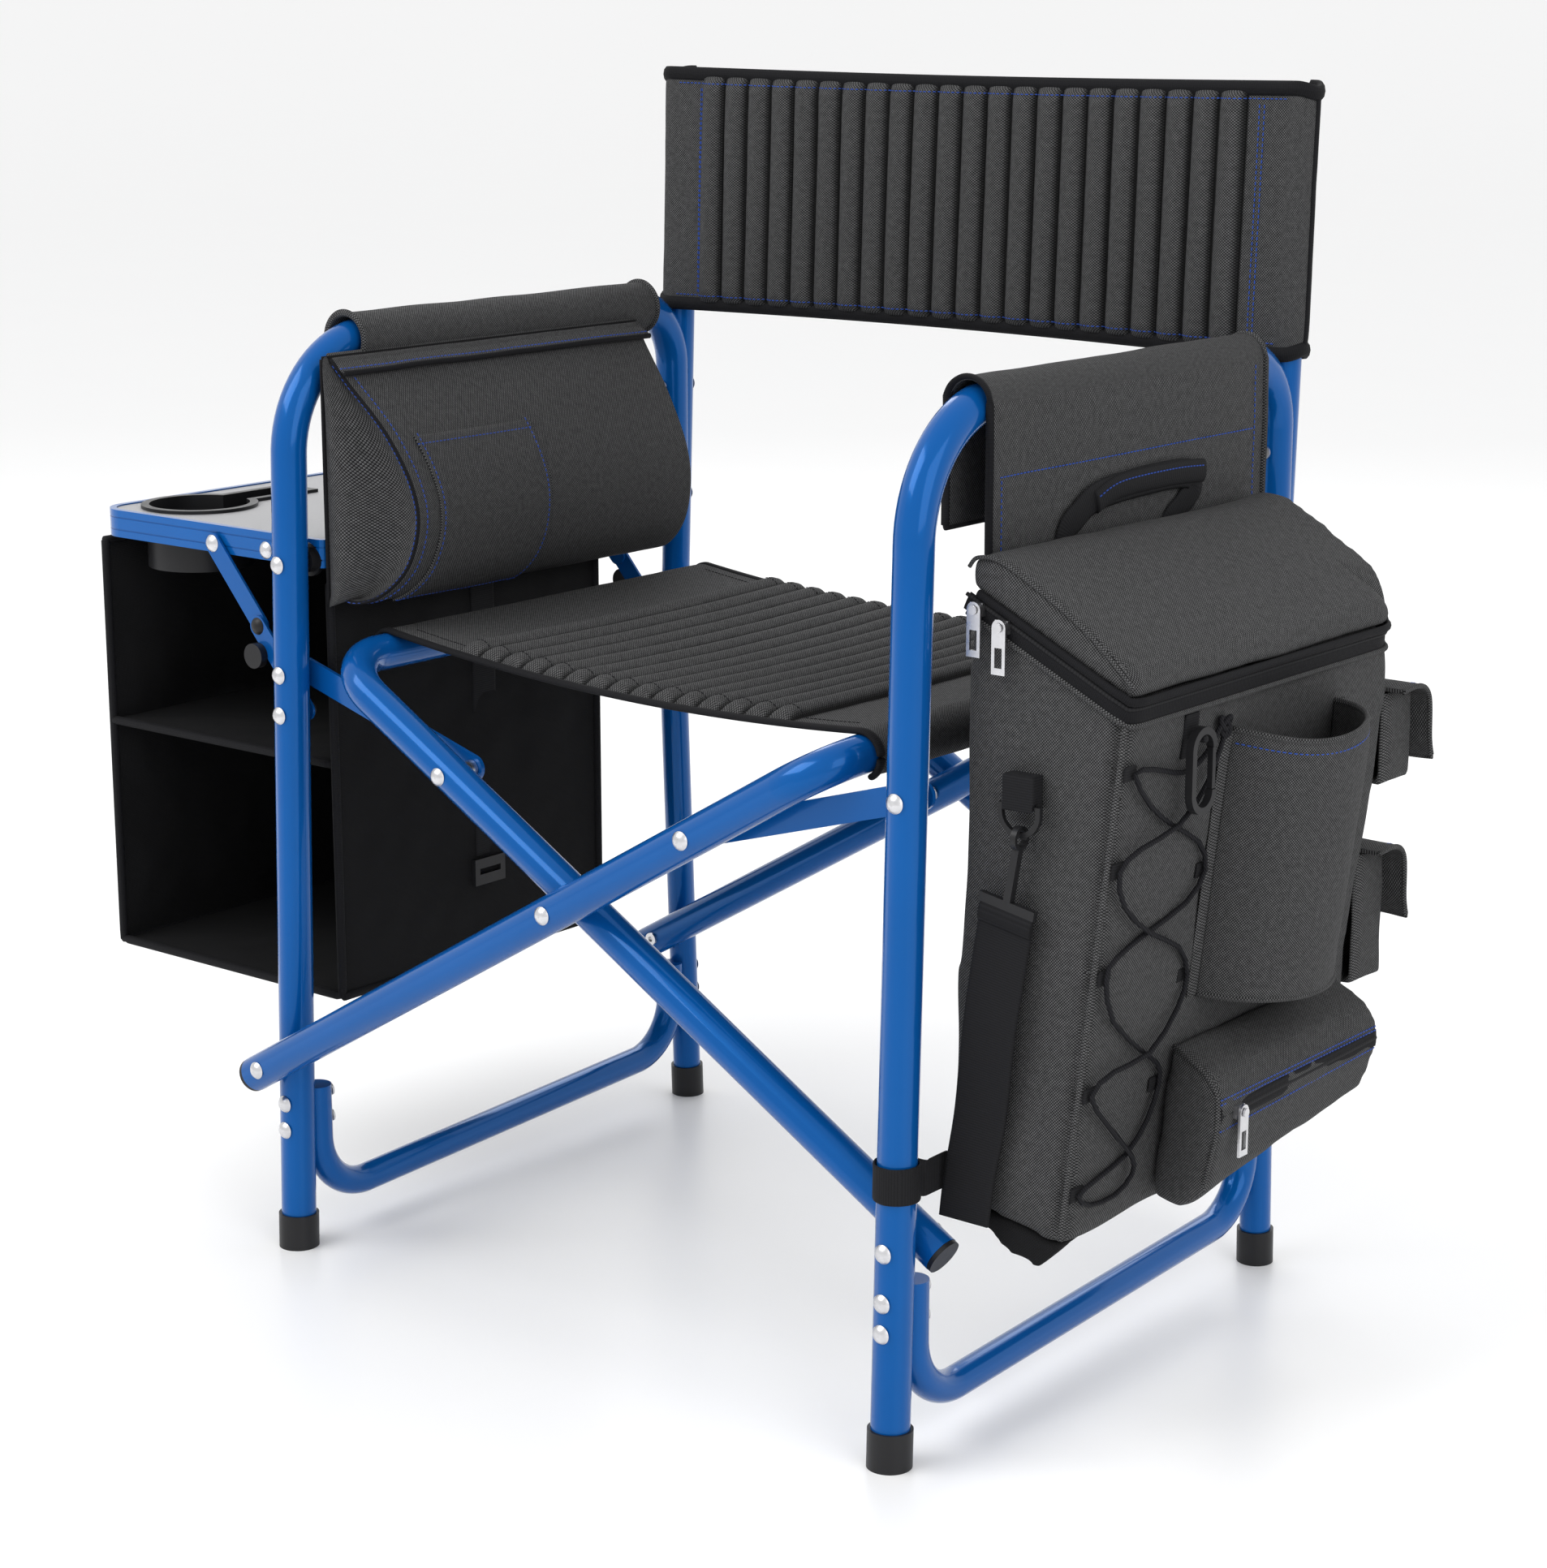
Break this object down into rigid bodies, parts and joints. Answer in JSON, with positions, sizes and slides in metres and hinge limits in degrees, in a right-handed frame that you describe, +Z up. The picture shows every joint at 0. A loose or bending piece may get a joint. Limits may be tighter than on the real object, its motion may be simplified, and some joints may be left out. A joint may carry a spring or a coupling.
{
  "type": "folding camp chair",
  "caption": "Folding camp chair with padded seat and back, folding side table with hanging organizer, and an insulated side bag",
  "frame": {"origin": "floor level, at the middle of the open chair's bounding box", "axes": "+X from the side table to the bag, the sitter's left; +Y to the back; +Z up"},
  "size_m": [0.9624, 0.4953, 0.8235],
  "materials": {
    "blue_tube": "gloss blue enamel",
    "blue_aluminium": "gloss blue enamel on an extruded rim",
    "black_plastic": "satin moulded black",
    "silver_metal": "zinc-plated",
    "table_board": "fine-grained light grey laminate",
    "padded_fabric": "charcoal woven polyester with light flecks",
    "bag_fabric": "charcoal woven polyester with light flecks",
    "webbing": "black ribbed webbing",
    "bungee": "black braided elastic"
  },
  "bodies": {
    "left_side": {"left_frame_tube": "blue_tube", "left_back_post": "blue_tube", "left_stretcher": "blue_tube", "foot_caps_left": "black_plastic", "frame_rivets_left": "silver_metal", "table_hinge_bar": "black_plastic", "organizer": "bag_fabric", "organizer_strap": "webbing", "organizer_buckle": "black_plastic", "arm_sleeve": "padded_fabric", "arm_pouch": "padded_fabric", "back_panel": "padded_fabric"},
    "cross_one": {"cross_tube_one": "blue_tube", "cross_plugs_one": "black_plastic", "cross_rivets_one": "silver_metal"},
    "cross_two": {"cross_tube_two": "blue_tube", "cross_plugs_two": "black_plastic", "cross_rivets_two": "silver_metal", "seat_panel": "padded_fabric"},
    "right_side": {"right_frame_tube": "blue_tube", "right_back_post": "blue_tube", "right_stretcher": "blue_tube", "foot_caps_right": "black_plastic", "frame_rivets_right": "silver_metal", "bag_flap": "padded_fabric", "bag_body": "bag_fabric", "bag_zip_band": "webbing", "bottle_pocket": "bag_fabric", "lower_pouch": "bag_fabric", "side_pockets": "bag_fabric", "bag_handle": "webbing", "leg_loop": "webbing", "bungee_cord": "bungee", "webbing_tabs": "webbing", "shoulder_strap": "webbing"},
    "links_left": {"link_left_front": "blue_tube", "link_left_rear": "blue_tube"},
    "links_right": {"link_right_front": "blue_tube", "link_right_rear": "blue_tube"},
    "table": {"table_top": "table_board", "table_rim": "blue_aluminium", "table_hinge_plates": "black_plastic", "table_rivets": "silver_metal", "cup_holder": "black_plastic"},
    "brace_low": {"brace_lower": "blue_tube", "brace_lock": "black_plastic"},
    "brace_high": {"brace_upper": "blue_tube"},
    "lid": {"bag_lid": "bag_fabric"},
    "slider_one": {"zip_slider_upper": "silver_metal"},
    "tab_one": {"zip_tab_upper": "silver_metal"},
    "slider_two": {"zip_slider_lower": "silver_metal"},
    "tab_two": {"zip_tab_lower": "silver_metal"},
    "pouch_slide": {"pouch_slider": "silver_metal"},
    "pouch_pull": {"pouch_tab": "silver_metal"},
    "flap_high": {"side_flap_upper": "bag_fabric"},
    "flap_low": {"side_flap_lower": "bag_fabric"},
    "clip": {"carabiner": "black_plastic"},
    "clip_gate": {"carabiner_gate": "black_plastic"},
    "ring": {"d_ring": "black_plastic"},
    "hook": {"snap_hook": "black_plastic"}
  },
  "joints": [
    {"name": "fold", "type": "hinge", "parent": "left_side", "child": "cross_one", "pos_m": [-0.2572, -0.0015, 0.1415], "axis": [0, -1, 0], "range_deg": [0, 40.5], "deforming": ["seat_panel", "back_panel", "arm_pouch"]},
    {"name": "cross_pivot", "type": "hinge", "parent": "cross_one", "child": "cross_two", "pos_m": [0.0208, -0.0015, 0.305], "axis": [0, 1, 0], "range_deg": [0, 81]},
    {"name": "right_pivot", "type": "hinge", "parent": "cross_two", "child": "right_side", "pos_m": [0.2988, -0.0015, 0.1415], "axis": [0, -1, 0], "range_deg": [0, 40.5]},
    {"name": "left_links_pivot", "type": "hinge", "parent": "left_side", "child": "links_left", "pos_m": [-0.2572, -0.0015, 0.4215], "axis": [0, -1, 0], "range_deg": [0, 86]},
    {"name": "right_links_pivot", "type": "hinge", "parent": "right_side", "child": "links_right", "pos_m": [0.2988, -0.0015, 0.4215], "axis": [0, 1, 0], "range_deg": [0, 86]},
    {"name": "table_fold", "type": "hinge", "parent": "left_side", "child": "table", "pos_m": [-0.2572, -0.0015, 0.499], "axis": [0, -1, 0], "range_deg": [0, 75], "deforming": ["organizer"]},
    {"name": "brace_low_pivot", "type": "hinge", "parent": "left_side", "child": "brace_low", "pos_m": [-0.2572, -0.0015, 0.393], "axis": [0, -1, 0], "range_deg": [0, 96]},
    {"name": "brace_high_pivot", "type": "hinge", "parent": "table", "child": "brace_high", "pos_m": [-0.3512, -0.0015, 0.5015], "axis": [0, 1, 0], "range_deg": [0, 134.5]},
    {"name": "lid_hinge", "type": "hinge", "parent": "right_side", "child": "lid", "pos_m": [0.3198, -0.0015, 0.562], "axis": [0, -1, 0], "range_deg": [0, 70]},
    {"name": "zip_one", "type": "slide", "parent": "right_side", "child": "slider_one", "axis": [0.9007, 0, -0.4345], "range_m": [0, 0.008]},
    {"name": "zip_two", "type": "slide", "parent": "right_side", "child": "slider_two", "axis": [0.9007, 0, -0.4345], "range_m": [0, 0.06]},
    {"name": "zip_tab_one", "type": "hinge", "parent": "slider_one", "child": "tab_one", "pos_m": [0.3288, -0.1932, 0.536], "axis": [0, 1, 0], "range_deg": [-8, 35]},
    {"name": "zip_tab_two", "type": "hinge", "parent": "slider_two", "child": "tab_two", "pos_m": [0.3468, -0.1932, 0.5275], "axis": [0, 1, 0], "range_deg": [-35, 8]},
    {"name": "pouch_zip", "type": "slide", "parent": "right_side", "child": "pouch_slide", "axis": [0, 1, 0], "range_m": [0, 0.15]},
    {"name": "pouch_tab_swing", "type": "hinge", "parent": "pouch_slide", "child": "pouch_pull", "pos_m": [0.4523, -0.0895, 0.226], "axis": [1, 0, 0], "range_deg": [-60, 60]},
    {"name": "upper_flap_hinge", "type": "hinge", "parent": "right_side", "child": "flap_high", "pos_m": [0.3708, 0.1308, 0.448], "axis": [1, 0, 0], "range_deg": [0, 80]},
    {"name": "lower_flap_hinge", "type": "hinge", "parent": "right_side", "child": "flap_low", "pos_m": [0.3708, 0.1308, 0.338], "axis": [1, 0, 0], "range_deg": [0, 80]},
    {"name": "clip_swing", "type": "hinge", "parent": "right_side", "child": "clip", "pos_m": [0.4368, -0.1215, 0.4612], "axis": [1, 0, 0], "range_deg": [-30, 30]},
    {"name": "clip_gate_hinge", "type": "hinge", "parent": "clip", "child": "clip_gate", "pos_m": [0.4393, -0.1102, 0.4298], "axis": [1, 0, 0], "range_deg": [0, 15], "stiffness_Nm_per_rad": 0.02},
    {"name": "ring_swing", "type": "hinge", "parent": "right_side", "child": "ring", "pos_m": [0.3648, -0.1997, 0.4235], "axis": [1, 0, 0], "range_deg": [-5, 1]},
    {"name": "hook_swivel", "type": "hinge", "parent": "ring", "child": "hook", "pos_m": [0.3648, -0.1996, 0.4046], "axis": [0, 0, 1], "range_deg": [-8, 8]}
  ],
  "couplings": [
    {"joint": "cross_pivot", "follows": "fold", "ratio": 2},
    {"joint": "right_pivot", "follows": "fold", "ratio": 1},
    {"joint": "left_links_pivot", "follows": "fold", "ratio": 2.0981},
    {"joint": "right_links_pivot", "follows": "fold", "ratio": 2.0981},
    {"joint": "brace_low_pivot", "follows": "table_fold", "ratio": 1.2789},
    {"joint": "brace_high_pivot", "follows": "table_fold", "ratio": 1.7875}
  ]
}
